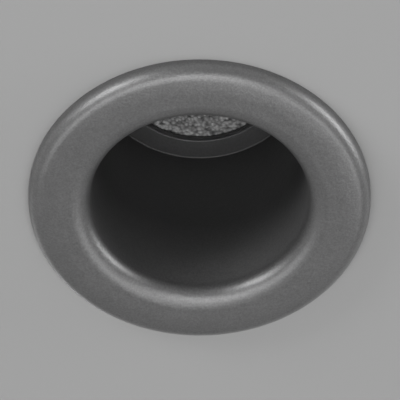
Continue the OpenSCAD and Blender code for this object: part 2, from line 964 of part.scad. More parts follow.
trim_housing();
ceiling_gasket();
lens_bezel();
lens_seal();
lens();
reflector();
led_holder();
holder_screws();
led_board();
led_phosphor();
thermal_pad();
base_gasket();
heat_sink();
heat_sink_screws();
gland_washer();
gland_body();
gland_seal();
gland_nut();
clip_bracket(LEFT);  // clip_bracket_left
bracket_screws(LEFT);  // bracket_screws_left
clip_pin(LEFT);  // clip_pin_left
pin_ring(LEFT);  // pin_ring_left
clip_spring(LEFT);  // clip_spring_left
clip_arm(LEFT);  // clip_arm_left
arm_pad(LEFT);  // arm_pad_left
clip_bracket(RIGHT);  // clip_bracket_right
bracket_screws(RIGHT);  // bracket_screws_right
clip_pin(RIGHT);  // clip_pin_right
pin_ring(RIGHT);  // pin_ring_right
clip_spring(RIGHT);  // clip_spring_right
clip_arm(RIGHT);  // clip_arm_right
arm_pad(RIGHT);  // arm_pad_right
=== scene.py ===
"""Dresses a recessed ceiling light: finishes, rounded edges, the pebbled lens, the springs and a stage.

The light is in its installed frame. +Z points up into the ceiling, and z = 0 is the ceiling's underside.
"""

import json
import math

import bpy
from mathutils import Matrix, Vector

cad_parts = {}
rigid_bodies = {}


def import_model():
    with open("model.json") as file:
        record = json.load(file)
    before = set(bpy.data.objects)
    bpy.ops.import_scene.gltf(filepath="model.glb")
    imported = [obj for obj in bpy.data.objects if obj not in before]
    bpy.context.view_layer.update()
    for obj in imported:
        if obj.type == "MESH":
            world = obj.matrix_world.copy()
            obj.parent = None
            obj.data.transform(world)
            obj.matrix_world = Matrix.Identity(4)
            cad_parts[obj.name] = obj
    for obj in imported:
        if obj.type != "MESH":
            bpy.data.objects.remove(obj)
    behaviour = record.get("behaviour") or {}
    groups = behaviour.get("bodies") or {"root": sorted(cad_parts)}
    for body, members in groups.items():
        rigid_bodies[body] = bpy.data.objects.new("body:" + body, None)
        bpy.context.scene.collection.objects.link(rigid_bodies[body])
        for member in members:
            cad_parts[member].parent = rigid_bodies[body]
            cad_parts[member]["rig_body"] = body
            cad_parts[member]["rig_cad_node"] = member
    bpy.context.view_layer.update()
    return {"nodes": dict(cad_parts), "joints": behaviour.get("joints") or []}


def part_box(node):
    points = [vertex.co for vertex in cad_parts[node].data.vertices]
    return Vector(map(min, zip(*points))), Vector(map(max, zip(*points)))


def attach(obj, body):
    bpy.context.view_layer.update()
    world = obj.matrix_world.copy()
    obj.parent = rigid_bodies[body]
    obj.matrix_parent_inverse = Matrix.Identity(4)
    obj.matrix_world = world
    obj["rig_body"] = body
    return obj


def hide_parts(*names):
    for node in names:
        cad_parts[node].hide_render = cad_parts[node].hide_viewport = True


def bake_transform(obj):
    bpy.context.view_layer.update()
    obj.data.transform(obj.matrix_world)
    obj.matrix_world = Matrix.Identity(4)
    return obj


bl_info = {
    "name": "Recessed Light",
    "version": (1, 0, 0),
    "blender": (4, 5, 0),
    "location": "3D View > Sidebar > Recessed Light",
    "description": "Dresses a recessed ceiling light and sets its stage",
    "category": "Object",
}

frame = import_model()

MM = 0.001
QUARTER = math.pi / 2
ROUND_STEPS = 256
LENS_STEPS = 384
SMALL_ROUND_STEPS = 48
MERGE_DISTANCE = 0.002 * MM
FLAT_ANGLE = math.radians(0.3)
SMOOTH_ANGLE = math.radians(35)
PEBBLE_SMOOTH_ANGLE = math.radians(80)
ROOT_BODY = "light"
SIDES = {"left": -1, "right": 1}

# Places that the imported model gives
TRIM_LOW, TRIM_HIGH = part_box("trim_housing")
BEZEL_LOW, BEZEL_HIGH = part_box("lens_bezel")
LENS_LOW, LENS_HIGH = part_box("lens")
HINGES = {joint["child"]: Vector(joint["pos_m"]) for joint in frame["joints"]}

# Ribs, lugs and pads on the tube
GUSSETS = 8
LUG_ANGLES = (30, 150, 270)
FOOT_INSET = 1 * MM
PAD_HALF_WIDTH = 7.5 * MM
PAD_MARGIN = 1 * MM
PAD_DEPTH = 1.1 * MM
PAD_EDGE = 0.3 * MM
OVERLAP = 0.5 * MM

# Slight gaps between the trim and what it holds
GROOVE_GAP = 0.15 * MM
SEAT_GAP = 0.02 * MM

# Round-overs on small edges
SCREW_EDGE = 0.12 * MM
PLATE_EDGE = 0.15 * MM
SOFT_EDGE = 0.2 * MM
CAST_EDGE = 0.25 * MM
MOULDED_EDGE = 0.3 * MM

# Steps of the springs' centreline
LEG_STEPS = 6
TURN_STEP = math.radians(10)

# The stage, in metres
CEILING_RADIUS = 3
CEILING_HOLE = 38 * MM
COLLAR_RADIUS = 50 * MM
FLOOR_RADIUS = 20
SHEET_GAP = 0.05 * MM
FARTHEST_VIEW = 100

# The camera's sensor in millimetres, and the slope over which the sky changes at the horizon
SENSOR_WIDTH = 36
HORIZON = 0.02


def hinge(side):
    """The hinge point of one clip."""
    return HINGES[f"clip_{side}"]


# Shapes


def deselect():
    """Leaves edit mode and selects nothing."""
    if bpy.context.object and bpy.context.object.mode != "OBJECT":
        bpy.ops.object.mode_set(mode="OBJECT")
    bpy.ops.object.select_all(action="DESELECT")


def activate(piece):
    """Selects one piece alone and makes it active."""
    deselect()
    piece.select_set(True)
    bpy.context.view_layer.objects.active = piece


def settle(piece, name):
    """Names a piece and applies its place, so that its object sits at the origin."""
    activate(piece)
    piece.name = name
    bpy.ops.object.transform_apply(location=True, rotation=True, scale=True)
    return piece


def close_up(piece, smooth=SMOOTH_ANGLE):
    """Merges doubles, points the faces outwards and smooths all but the sharp edges."""
    activate(piece)
    bpy.ops.object.mode_set(mode="EDIT")
    bpy.ops.mesh.select_all(action="SELECT")
    bpy.ops.mesh.remove_doubles(threshold=MERGE_DISTANCE)
    bpy.ops.mesh.normals_make_consistent(inside=False)
    bpy.ops.object.mode_set(mode="OBJECT")
    bpy.ops.object.shade_smooth_by_angle(angle=smooth)
    return piece


def arc(centre, radius, start, end, steps):
    """Points on an arc between two angles in degrees."""
    angles = [math.radians(start + (end - start) * i / steps) for i in range(steps + 1)]
    return [(centre[0] + radius * math.cos(a), centre[1] + radius * math.sin(a)) for a in angles]


def stretch(start, end, steps):
    """Points between two corners, without the corners themselves."""
    return [tuple(a + (b - a) * i / steps for a, b in zip(start, end)) for i in range(1, steps)]


def turned(name, outline, steps=ROUND_STEPS):
    """A shape turned about Z: its outline is drawn from corner to corner and spun.

    The outline closes on itself round a bore, unless both its ends lie on the axis."""
    deselect()
    bpy.ops.mesh.primitive_plane_add(size=1)
    piece = settle(bpy.context.object, name)
    bpy.ops.object.mode_set(mode="EDIT")
    bpy.ops.mesh.select_all(action="SELECT")
    bpy.ops.mesh.merge(type="CENTER")
    radius, height = outline[0]
    bpy.ops.transform.translate(value=(radius, 0, height))
    rest = outline[1:] if outline[0][0] == outline[-1][0] == 0 else outline[1:] + outline[:1]
    for new_radius, new_height in rest:
        step = (new_radius - radius, 0, new_height - height)
        bpy.ops.mesh.extrude_region_move(TRANSFORM_OT_translate={"value": step})
        radius, height = new_radius, new_height
    bpy.ops.mesh.select_all(action="SELECT")
    bpy.ops.mesh.spin(steps=steps, angle=2 * math.pi, center=(0, 0, 0), axis=(0, 0, 1))
    return close_up(piece)


def post(name, radius, low, high, place=(0, 0)):
    """An upright cylinder between two heights."""
    deselect()
    bpy.ops.mesh.primitive_cylinder_add(
        vertices=SMALL_ROUND_STEPS, radius=radius, depth=high - low, location=(*place, (low + high) / 2)
    )
    return settle(bpy.context.object, name)


def sliced(piece, point, normal):
    """Cuts away what lies beyond a plane, on the side that its normal points to."""
    activate(piece)
    bpy.ops.object.mode_set(mode="EDIT")
    bpy.ops.mesh.select_all(action="SELECT")
    bpy.ops.mesh.bisect(
        plane_co=point, plane_no=Vector(normal).normalized(), threshold=MERGE_DISTANCE,
        use_fill=True, clear_outer=True,
    )
    bpy.ops.object.mode_set(mode="OBJECT")
    return piece


def rounded(piece, width):
    """Rounds the sharp edges of a piece."""
    return modify(
        piece, "BEVEL", width=width, segments=2, limit_method="ANGLE",
        angle_limit=SMOOTH_ANGLE, use_clamp_overlap=True,
    )


def box(name, low, high):
    """A block between two corners."""
    deselect()
    centre = [(a + b) / 2 for a, b in zip(low, high)]
    bpy.ops.mesh.primitive_cube_add(size=1, location=centre)
    piece = bpy.context.object
    piece.scale = [b - a for a, b in zip(low, high)]
    return settle(piece, name)


def modify(piece, kind, **settings):
    """Adds a modifier and applies it."""
    activate(piece)
    modifier = piece.modifiers.new(kind.title(), kind)
    for name, value in settings.items():
        setattr(modifier, name, value)
    bpy.ops.object.modifier_apply(modifier=modifier.name)
    return piece


def copied(piece, name, matrix=Matrix.Identity(4)):
    """A copy of a piece with its own mesh, moved by a matrix in its vertices."""
    twin = piece.copy()
    twin.data = piece.data.copy()
    twin.data.transform(matrix)
    twin.name = name
    bpy.context.collection.objects.link(twin)
    return twin


def joined(pieces, name):
    """Joins loose pieces into one object."""
    deselect()
    for piece in pieces:
        piece.select_set(True)
    bpy.context.view_layer.objects.active = pieces[0]
    bpy.ops.object.join()
    pieces[0].name = name
    return pieces[0]


def combine(piece, tools, operation):
    """Fuses tools with a piece, or cuts them from it, and removes the tools."""
    for tool in tools:
        modify(piece, "BOOLEAN", object=tool, operation=operation, solver="MANIFOLD")
        bpy.data.objects.remove(tool)
    return piece


def softened(node, width):
    """A copy of a CAD node with its flats joined up and its sharp edges rounded, which stands for it."""
    piece = copied(frame["nodes"][node], f"{node}_dressed")
    body = piece["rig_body"]
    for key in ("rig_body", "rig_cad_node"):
        del piece[key]
    activate(piece)
    bpy.ops.object.mode_set(mode="EDIT")
    bpy.ops.mesh.select_all(action="SELECT")
    bpy.ops.mesh.remove_doubles(threshold=MERGE_DISTANCE)
    bpy.ops.mesh.dissolve_limited(angle_limit=FLAT_ANGLE)
    bpy.ops.object.mode_set(mode="OBJECT")
    rounded(piece, width)
    bpy.ops.object.shade_smooth_by_angle(angle=SMOOTH_ANGLE)
    stand_in(piece, node, body)
    return piece


def stand_in(piece, node, body=ROOT_BODY):
    """Hides a CAD node and puts a piece on a body in its place."""
    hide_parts(node)
    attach(piece, body)
    return piece


def turn_about_z(degrees):
    """A turn about the light's axis."""
    return Matrix.Rotation(math.radians(degrees), 4, "Z")


# Finishes


class Signal:
    """A number inside a finish. Arithmetic on it adds Math nodes."""

    def __init__(self, finish, socket):
        self.finish, self.socket = finish, socket

    def math(self, operation, *values):
        inputs = dict(enumerate(values))
        node = self.finish.node("ShaderNodeMath", {"operation": operation}, inputs)
        return Signal(self.finish, node.outputs[0])

    def __add__(self, other):
        return self.math("ADD", self, other)

    def __mul__(self, other):
        return self.math("MULTIPLY", self, other)

    def __pow__(self, other):
        return self.math("POWER", self, other)

    def __rsub__(self, other):
        return self.math("SUBTRACT", other, self)

    __radd__ = __add__
    __rmul__ = __mul__

    def between(self, low, high):
        """0 below low, 1 above high and an even rise between."""
        settings = {"clamp": True}
        inputs = {"Value": self, "From Min": low, "From Max": high}
        return Signal(self.finish, self.finish.node("ShaderNodeMapRange", settings, inputs).outputs[0])

    def spread(self, low, high):
        """A rise from low, where this is 0, to high, where it is 1."""
        return low + (high - low) * self


class Finish:
    """A material with a Principled shader and a few ways to fill it."""

    def __init__(self, name, **constants):
        self.material = bpy.data.materials.new(name)
        self.material.use_nodes = True
        self.tree = self.material.node_tree
        self.shader = self.tree.nodes["Principled BSDF"]
        self.output = self.tree.nodes["Material Output"]
        for socket, value in constants.items():
            self.set(socket.replace("_", " ").title().replace("Ior", "IOR"), value)

    def set(self, socket, value):
        """Sets a socket of the shader to a value, or links a signal to it."""
        if isinstance(value, Signal):
            self.tree.links.new(value.socket, self.shader.inputs[socket])
            return
        if socket == "Base Color" and len(value) == 3:
            value = (*value, 1)
        self.shader.inputs[socket].default_value = value

    def node(self, kind, settings=None, inputs=None):
        """Adds a node: its settings are made first, then its sockets are set or linked."""
        node = self.tree.nodes.new(kind)
        for name, value in (settings or {}).items():
            setattr(node, name, value)
        for key, value in (inputs or {}).items():
            if isinstance(value, Signal):
                self.tree.links.new(value.socket, node.inputs[key])
            else:
                node.inputs[key].default_value = value
        return node

    def place(self):
        """Where the surface is, in the light's own frame."""
        return Signal(self, self.node("ShaderNodeTexCoord").outputs["Object"])

    def axis(self, letter, place=None):
        """One coordinate of a place, in metres."""
        split = self.node("ShaderNodeSeparateXYZ", {}, {0: place or self.place()})
        return Signal(self, split.outputs[letter])

    def inside(self, radius, margin, low, high):
        """1 inside a radius and above a height, and 0 outside it or below."""
        place = self.place()
        x, y = self.axis("X", place), self.axis("Y", place)
        reach = (x * x + y * y) ** 0.5
        return (1 - reach.between(radius, radius + margin)) * self.axis("Z", place).between(low, high)

    def noise(self, size, detail=2, roughness=0.5):
        """Soft noise from 0 to 1 with features of about that size in metres."""
        inputs = {"Vector": self.place(), "Scale": 1 / size, "Detail": detail, "Roughness": roughness}
        return Signal(self, self.node("ShaderNodeTexNoise", {}, inputs).outputs["Fac"])

    def cells(self, size):
        """Distance to the middle of cells of about that size in metres."""
        inputs = {"Vector": self.place(), "Scale": 1 / size}
        return Signal(self, self.node("ShaderNodeTexVoronoi", {}, inputs).outputs["Distance"])

    def blend(self, factor, dark, light):
        """A colour between two others, which are colours or signals."""
        values = {"Factor": factor, "A": dark, "B": light}
        node = self.node("ShaderNodeMix", {"data_type": "RGBA"})
        for socket in node.inputs:
            if socket.enabled and socket.name in values:
                value = values[socket.name]
                if isinstance(value, Signal):
                    self.tree.links.new(value.socket, socket)
                else:
                    socket.default_value = value if isinstance(value, (int, float)) else (*value, 1)
        return Signal(self, next(socket for socket in node.outputs if socket.enabled))

    def bump(self, height, depth):
        """Raises the surface by up to depth metres where height is 1."""
        node = self.node("ShaderNodeBump", {}, {"Height": height, "Distance": depth, "Strength": 1.0})
        self.tree.links.new(node.outputs["Normal"], self.shader.inputs["Normal"])

    def on(self, *pieces):
        """Gives the finish to pieces or named CAD nodes."""
        for piece in pieces:
            target = frame["nodes"][piece] if isinstance(piece, str) else piece
            target.data.materials.clear()
            target.data.materials.append(self.material)
        return self


def shaded(colour, factor):
    """A colour made darker or lighter."""
    return tuple(channel * factor for channel in colour)


def sand_coat(settings):
    """Metallic powder coat with a sandy grain and slight clouds of tone. In the throat it turns matt, and
    its colour is painted dark there as painted shade that deepens above the mouth.
    """
    finish = Finish("sand_coat")
    cloud = finish.noise(9 * MM, detail=3)
    speck = finish.noise(settings.grain_size, detail=2, roughness=0.7).between(0.25, 0.75)
    dark = shaded(settings.colour, 1 - settings.speckle)
    light = shaded(settings.colour, 1 + settings.speckle)
    coat = finish.blend(0.3 * cloud + 0.7 * speck, dark, light)
    # Painted shade: inside the throat the coat fades from the mouth upwards into a dark colour that stands
    # for the shade deep in the tube, and it loses its metal flake.
    past_wall, edge = 0.2 * MM, 0.3 * MM
    fade_start, fade_curve = -1 * MM, 0.6
    reach = settings.throat_radius + settings.mouth_flare + past_wall
    throat = finish.inside(reach, edge, fade_start, settings.throat_shade_height) ** fade_curve
    deep, pale = shaded(settings.throat_shade_colour, 0.8), shaded(settings.throat_shade_colour, 1.2)
    finish.set("Base Color", finish.blend(throat, coat, finish.blend(speck, deep, pale)))
    finish.set("Metallic", settings.metallic * (1 - throat))
    grain = finish.noise(settings.grain_size, detail=3, roughness=0.6)
    ripple = finish.noise(3.2 * settings.grain_size, detail=1)
    finish.set("Roughness", grain.spread(settings.roughness - 0.05, settings.roughness + 0.05))
    finish.bump(grain * 0.7 + ripple * 0.6, settings.grain_depth)
    return finish


def smooth_coat(settings):
    """Satin metallic coat on the turned bezel, almost smooth."""
    finish = Finish("satin_coat", metallic=settings.metallic)
    speck = finish.noise(0.7 * MM, detail=3).between(0.25, 0.75)
    dark, light = shaded(settings.colour, 0.85), shaded(settings.colour, 1.15)
    finish.set("Base Color", finish.blend(speck, dark, light))
    finish.set("Roughness", speck.spread(settings.roughness - 0.04, settings.roughness + 0.04))
    finish.bump(speck, 0.006 * MM)
    return finish


def rubber(name, colour=(0.018, 0.018, 0.018)):
    """Matt black rubber with a faint bloom."""
    finish = Finish(name)
    bloom = finish.noise(2.5 * MM, detail=4)
    finish.set("Base Color", finish.blend(bloom, colour, shaded(colour, 1.9)))
    finish.set("Roughness", bloom.spread(0.7, 0.85))
    finish.bump(finish.noise(0.35 * MM, detail=2), 0.01 * MM)
    return finish


def foam():
    """Closed-cell foam with open pores on its skin, painted darker inside as shade."""
    finish = Finish("foam")
    pores = finish.cells(0.45 * MM).between(0.1, 0.55)
    cloud = finish.noise(4 * MM, detail=3)
    skin = finish.blend(cloud, (0.03, 0.03, 0.031), (0.062, 0.062, 0.064))
    # Painted shade: the pores are painted near black, as shade in their hollows.
    finish.set("Base Color", finish.blend(pores, (0.01, 0.01, 0.01), skin))
    finish.set("Roughness", cloud.spread(0.8, 0.95))
    finish.bump(pores, 0.12 * MM)
    return finish


def cast_metal():
    """Dark anodised die casting: a fine blasted skin, clouded by handling."""
    finish = Finish("cast_metal", metallic=0.6)
    cloud = finish.noise(11 * MM, detail=5, roughness=0.6)
    speck = finish.noise(0.5 * MM, detail=3)
    base = finish.blend(cloud, (0.16, 0.16, 0.164), (0.235, 0.235, 0.24))
    finish.set("Base Color", finish.blend(speck * 0.5, base, (0.3, 0.3, 0.305)))
    grain = finish.noise(0.3 * MM, detail=3)
    finish.set("Roughness", grain.spread(0.4, 0.5) + 0.1 * cloud)
    finish.bump(grain, 0.02 * MM)
    return finish


def zinc(name="zinc"):
    """Zinc plate: pale, clouded and slightly rough."""
    colour = (0.4, 0.405, 0.41)
    finish = Finish(name, metallic=1.0)
    cloud = finish.noise(3 * MM, detail=5, roughness=0.65)
    finish.set("Base Color", finish.blend(cloud, shaded(colour, 0.8), shaded(colour, 1.12)))
    finish.set("Roughness", cloud.spread(0.46, 0.66))
    finish.bump(finish.noise(0.25 * MM, detail=3), 0.004 * MM)
    return finish


def mottled(name, grain, dark, light, smooth, rough, detail=3, metallic=0.0, depth=0.0):
    """A finish whose one grain runs between two colours and two roughnesses, and may be raised."""
    finish = Finish(name, metallic=metallic)
    speck = finish.noise(grain, detail)
    finish.set("Base Color", finish.blend(speck, dark, light))
    finish.set("Roughness", speck.spread(smooth, rough))
    if depth:
        finish.bump(speck, depth)
    return finish


def spring_wire():
    """Drawn spring steel: darker than zinc, smooth and slightly oily."""
    return mottled(
        "spring_wire", grain=0.9 * MM, dark=(0.2, 0.2, 0.205), light=(0.36, 0.36, 0.365),
        smooth=0.22, rough=0.38, detail=4, metallic=1.0,
    )


def black_plastic():
    """Black moulded polyamide with a spark-eroded skin."""
    return mottled(
        "black_plastic", grain=0.28 * MM, dark=(0.016, 0.016, 0.017), light=(0.03, 0.03, 0.031),
        smooth=0.42, rough=0.58, depth=0.018 * MM,
    )


def white_plastic():
    """Heatproof white plastic, slightly warm."""
    return mottled(
        "white_plastic", grain=0.4 * MM, dark=(0.68, 0.67, 0.63), light=(0.76, 0.75, 0.71),
        smooth=0.38, rough=0.5, depth=0.008 * MM,
    )


def bright_reflector():
    """Bright anodised aluminium with a faint haze."""
    return mottled(
        "bright_reflector", grain=2.2 * MM, dark=(0.7, 0.7, 0.7), light=(0.86, 0.86, 0.86),
        smooth=0.14, rough=0.24, detail=4, metallic=1.0,
    )


def light_spot():
    """Silicone and phosphor over the chips, unlit."""
    return mottled(
        "light_spot", grain=0.5 * MM, dark=(0.72, 0.5, 0.08), light=(0.82, 0.6, 0.14),
        smooth=0.3, rough=0.4,
    )


def board_mask():
    """White solder mask over an aluminium board."""
    return mottled(
        "board_mask", grain=0.7 * MM, dark=(0.74, 0.74, 0.72), light=(0.82, 0.82, 0.8),
        smooth=0.35, rough=0.45, detail=2,
    )


def thermal_silicone():
    """Grey filled silicone."""
    return mottled(
        "thermal_silicone", grain=0.3 * MM, dark=(0.16, 0.16, 0.17), light=(0.26, 0.26, 0.27),
        smooth=0.75, rough=0.85, detail=2,
    )


def pebbled_glass(settings):
    """Frosted glass with pressed pebbles: a painted glow on them and painted shade in the valleys."""
    finish = Finish("pebbled_glass", ior=1.5)
    cloud = finish.noise(1.7 * MM, detail=2)
    fine = finish.noise(0.5 * MM, detail=2)
    # Painted light and shade by height: the pebble tops are painted milky, as a glow of light in the glass,
    # and the valleys dark, as shade. The clouds vary the tone at random.
    valley = finish.axis("Z").between(LENS_LOW.z, LENS_LOW.z + settings.pebble_depth)
    frost_and_glow = (1 - valley) * cloud.between(0.3, 0.7).spread(0.35, 1.25)
    finish.set("Base Color", finish.blend(frost_and_glow, settings.valley_shade_colour, settings.frosted_glow_colour))
    finish.set("Roughness", cloud.spread(0.16, 0.28))
    finish.bump(fine, 0.02 * MM)
    return finish


# Settings


def length(name, description, default):
    """A length among the settings."""
    return bpy.props.FloatProperty(
        name=name, description=description, default=default, unit="LENGTH", precision=5, min=0
    )


def tint(name, description, default):
    """A colour among the settings."""
    return bpy.props.FloatVectorProperty(
        name=name, description=description, default=default, subtype="COLOR", size=3, min=0, max=1
    )


def number(name, description, default, high=1.0):
    """A share or another plain number among the settings."""
    return bpy.props.FloatProperty(name=name, description=description, default=default, min=0, max=high)


class TrimSettings(bpy.types.PropertyGroup):
    """Shape and finish of the trim and its throat."""

    throat_radius: length("Throat radius", "Inside radius of the throat", 28 * MM)
    wall: length("Wall", "Wall of the throat tube", 2 * MM)
    mouth_flare: length("Mouth flare", "How much wider the mouth is than the throat", 0.75 * MM)
    flare_height: length("Flare height", "Height that the flare reaches", 9 * MM)
    nose_radius: length("Nose radius", "Radius of the bullnose next to the face", 6.1 * MM)
    nose_angle: number("Nose angle", "Degrees that it bends before it turns tighter", 30.0, 60.0)
    mouth_radius: length("Mouth radius", "Radius of the bullnose next to the throat", 4.7 * MM)
    edge_radius: length("Edge radius", "Radius of the outer edge", 4.2 * MM)
    crown_radius: length("Crown radius", "Radius of the crown next to the outer edge", 28 * MM)
    crown_angle: number("Crown angle", "Degrees that the crown falls through", 10.0, 20.0)
    root_radius: length("Root radius", "Fillet between the trim's back and the tube", 1.2 * MM)
    groove: length("Groove", "Depth of the seal's groove", 1.4 * MM)
    groove_width: length("Groove width", "Width of the seal's groove", 3.4 * MM)
    gusset_reach: length("Gusset reach", "Radius that the gussets reach", 36 * MM)
    gusset_height: length("Gusset height", "Height of the gussets", 7 * MM)
    gusset_top: length("Gusset top", "Width of a gusset's top", 1.3 * MM)
    gusset_toe: length("Gusset toe", "Height of a gusset's toe", 0.8 * MM)
    gusset_thickness: length("Gusset thickness", "Thickness of a gusset", 1.8 * MM)
    lug_circle: length("Lug circle", "Radius of the circle that the lugs stand on", 33.4 * MM)
    lug_radius: length("Lug radius", "Outside radius of a lug", 3.3 * MM)
    lug_height: length("Lug height", "Height of a lug", 17 * MM)
    lug_slope: number("Lug slope", "Slope of a lug's foot in degrees", 40.0, 60.0)
    seat_fillet: length("Seat fillet", "Fillet under the seat of the bezel", 0.5 * MM)
    colour: tint("Colour", "Colour of the powder coat", (0.187, 0.187, 0.188))
    # Painted shade in the throat: the dark colour that the coat fades into, and the height at which that
    # shade is full
    throat_shade_colour: tint("Throat colour", "Colour of the matt coat inside the throat", (0.041, 0.041, 0.041))
    throat_shade_height: length("Throat fade", "Height at which the coat has faded into the matt coat", 24 * MM)
    metallic: number("Metallic", "Share of metal flake in the coat", 0.72)
    roughness: number("Roughness", "Roughness of the powder coat", 0.4)
    speckle: number("Speckle", "How much lighter or darker the coat's grain is", 0.28)
    grain_size: length("Grain size", "Size of the coat's grain", 0.52 * MM)
    grain_depth: length("Grain depth", "Depth of the coat's grain", 0.08 * MM)


class BezelSettings(bpy.types.PropertyGroup):
    """Shape and finish of the bezel that holds the lens."""

    lip_radius: length("Lip radius", "Radius of the opening in the lip", 22.1 * MM)
    lip: length("Lip", "Thickness of the lip", 1.2 * MM)
    edge_radius: length("Edge radius", "Round-over on the edges of the face", 0.35 * MM)
    outer_radius: length("Outer radius", "Radius of the bezel in the throat", 27.85 * MM)
    band: length("Band", "Height of the close-fitting band", 5 * MM)
    relief: length("Relief", "How far the bezel is relieved above the band", 0.6 * MM)
    bore_radius: length("Bore radius", "Radius of the bore that takes the lens", 25.15 * MM)
    flange_radius: length("Flange radius", "Radius of the flange", 31.8 * MM)
    flange_edge: length("Flange edge", "Round-over on the flange", 0.3 * MM)
    colour: tint("Colour", "Colour of the coat", (0.084, 0.084, 0.085))
    metallic: number("Metallic", "Share of metal flake in the coat", 0.4)
    roughness: number("Roughness", "Roughness of the coat", 0.4)


class LensSettings(bpy.types.PropertyGroup):
    """Shape and finish of the lens."""

    chamfer: length("Chamfer", "Chamfer on both rims", 0.4 * MM)
    pebble_size: length("Pebble size", "Size of one pressed pebble", 0.92 * MM)
    pebble_depth: length("Pebble depth", "Height of the pebbles", 0.5 * MM)
    ring_pitch: length("Ring pitch", "Spacing of the rings of mesh on the pebbled face", 0.25 * MM)
    seal_radius: length("Seal radius", "Inside radius of the seal that shows", 21.8 * MM)
    # Painted glow on the pebble tops and painted shade in the valleys
    frosted_glow_colour: tint("Light colour", "Milky colour on the pebbles", (0.58, 0.58, 0.58))
    valley_shade_colour: tint("Dark colour", "Colour in the valleys", (0.02, 0.02, 0.02))


class SpringSettings(bpy.types.PropertyGroup):
    """Shape of the torsion springs."""

    wire: length("Wire", "Wire diameter", 0.8 * MM)
    coil_radius: length("Coil radius", "Radius of the coil's centreline", 1.75 * MM)
    half_width: length("Half width", "Half the coil's length along the pin", 2.7 * MM)
    leg: length("Leg", "Length of each leg", 7 * MM)
    turns: bpy.props.IntProperty(name="Turns", description="Full turns", default=4, min=1, max=8)
    rest_angle: number("Rest angle", "Degrees that the arm rests below the level", 15.0, 60.0)


class StageSettings(bpy.types.PropertyGroup):
    """Ceiling, floor, camera and lamps."""

    ceiling_colour: tint("Ceiling colour", "Paint on the ceiling", (0.34, 0.34, 0.34))
    floor_colour: tint("Floor colour", "Pale floor under the light", (0.72, 0.72, 0.72))
    room_light: number("Room light", "Even light from the room below the ceiling", 0.32)
    loft_light: number("Loft light", "Even light from above the ceiling", 0.6)
    camera_distance: length("Camera distance", "Camera to the middle of the trim", 1577.7 * MM)
    camera_tilt: number("Camera tilt", "Degrees between the view and the light's axis", 37.9, 90.0)
    camera_shift: length("Camera shift", "How far the view's centre lies behind the axis", 0.92 * MM)
    focal_length: number("Focal length", "Lens of the camera in millimetres", 540.0, 2000.0)
    lens_shift: bpy.props.FloatVectorProperty(
        name="Lens shift", description="How far the picture is off the camera's axis",
        default=(0.0011, -0.0005), size=2,
    )
    lamp_distance: length("Lamp distance", "Distance of the lamps", 2.0)


class LightSettings(bpy.types.PropertyGroup):
    """All settings of the recessed light."""

    trim: bpy.props.PointerProperty(type=TrimSettings, name="Trim", description="Trim and throat")
    bezel: bpy.props.PointerProperty(type=BezelSettings, name="Bezel", description="Lens bezel")
    lens: bpy.props.PointerProperty(type=LensSettings, name="Lens", description="Pebbled lens")
    spring: bpy.props.PointerProperty(type=SpringSettings, name="Springs", description="Clip springs")
    stage: bpy.props.PointerProperty(type=StageSettings, name="Stage", description="Stage and lamps")


# Pieces


def trim_outline(s):
    """The trim's section, from the throat's top round the face and up the outside of the tube."""
    top, face, outer = TRIM_HIGH.z, TRIM_LOW.z, TRIM_HIGH.y
    tube, mouth = s.throat_radius + s.wall, s.throat_radius + s.mouth_flare
    groove_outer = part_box("ceiling_gasket")[1].x + GROOVE_GAP
    groove_inner = groove_outer - s.groove_width
    bend, lean = math.radians(s.nose_angle), math.radians(s.crown_angle)
    step = s.nose_radius - s.mouth_radius
    nose = (mouth + s.mouth_radius + step * math.sin(bend), face + s.nose_radius)
    inner = (nose[0] - step * math.sin(bend), nose[1] - step * math.cos(bend))
    reach = s.crown_radius - s.edge_radius
    crown = (outer - s.edge_radius - reach * math.sin(lean), face + s.crown_radius)
    edge = (crown[0] + reach * math.sin(lean), crown[1] - reach * math.cos(lean))
    root = (tube + s.root_radius, s.root_radius)
    throat_top, flare_top = (s.throat_radius, top), (s.throat_radius, s.flare_height)
    seat = (s.throat_radius - s.seat_fillet, BEZEL_LOW.z - s.seat_fillet - 2 * SEAT_GAP)
    seat_top = (s.throat_radius, BEZEL_LOW.z - SEAT_GAP)
    return [
        throat_top, *stretch(throat_top, seat_top, 6), seat_top, (seat[0], seat_top[1]),
        *arc(seat, s.seat_fillet, 90, 0, 10),
        *stretch((s.throat_radius, seat[1]), flare_top, 14), flare_top,
        *stretch(flare_top, (mouth, inner[1]), 6),
        *arc(inner, s.mouth_radius, 180, 270 - s.nose_angle, 24),
        *arc(nose, s.nose_radius, 270 - s.nose_angle, 270, 16)[1:],
        *stretch((nose[0], face), (crown[0], face), 4),
        *arc(crown, s.crown_radius, 270, 270 + s.crown_angle, 10),
        *arc(edge, s.edge_radius, 270 + s.crown_angle, 360, 24)[1:], (outer, 0),
        (groove_outer, 0), (groove_outer, -s.groove), (groove_inner, -s.groove), (groove_inner, 0),
        *arc(root, s.root_radius, 270, 180, 8), (tube, top),
    ]


def gusset(s, tube):
    """One gusset along +X: a block whose top slopes down to its toe."""
    low = (tube - OVERLAP, -s.gusset_thickness / 2, -OVERLAP)
    block = box("gusset", low, (s.gusset_reach, s.gusset_thickness / 2, s.gusset_height))
    slope = (s.gusset_height - s.gusset_toe, 0, s.gusset_reach - tube - s.gusset_top)
    sliced(block, (s.gusset_reach, 0, s.gusset_toe), slope)
    return rounded(block, CAST_EDGE)


def lug(name, s, wall, low, high):
    """One screw lug along +X, from the wall out."""
    tool = post(name, s.lug_radius, low, high, (s.lug_circle, 0))
    block = box("block", (wall, -s.lug_radius, low), (s.lug_circle, s.lug_radius, high))
    return combine(tool, [block], "UNION")


def bracket_pad(side, tube):
    """The flat on the tube that a clip bracket stands on."""
    low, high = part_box(f"clip_bracket_{side}")
    face = SIDES[side] * min(abs(low.x), abs(high.x))
    near, far = sorted((face, SIDES[side] * (tube - PAD_DEPTH)))
    bottom, top = low.z - PAD_MARGIN, high.z + PAD_MARGIN
    return box("pad", (near, -PAD_HALF_WIDTH, bottom), (far, PAD_HALF_WIDTH, top))


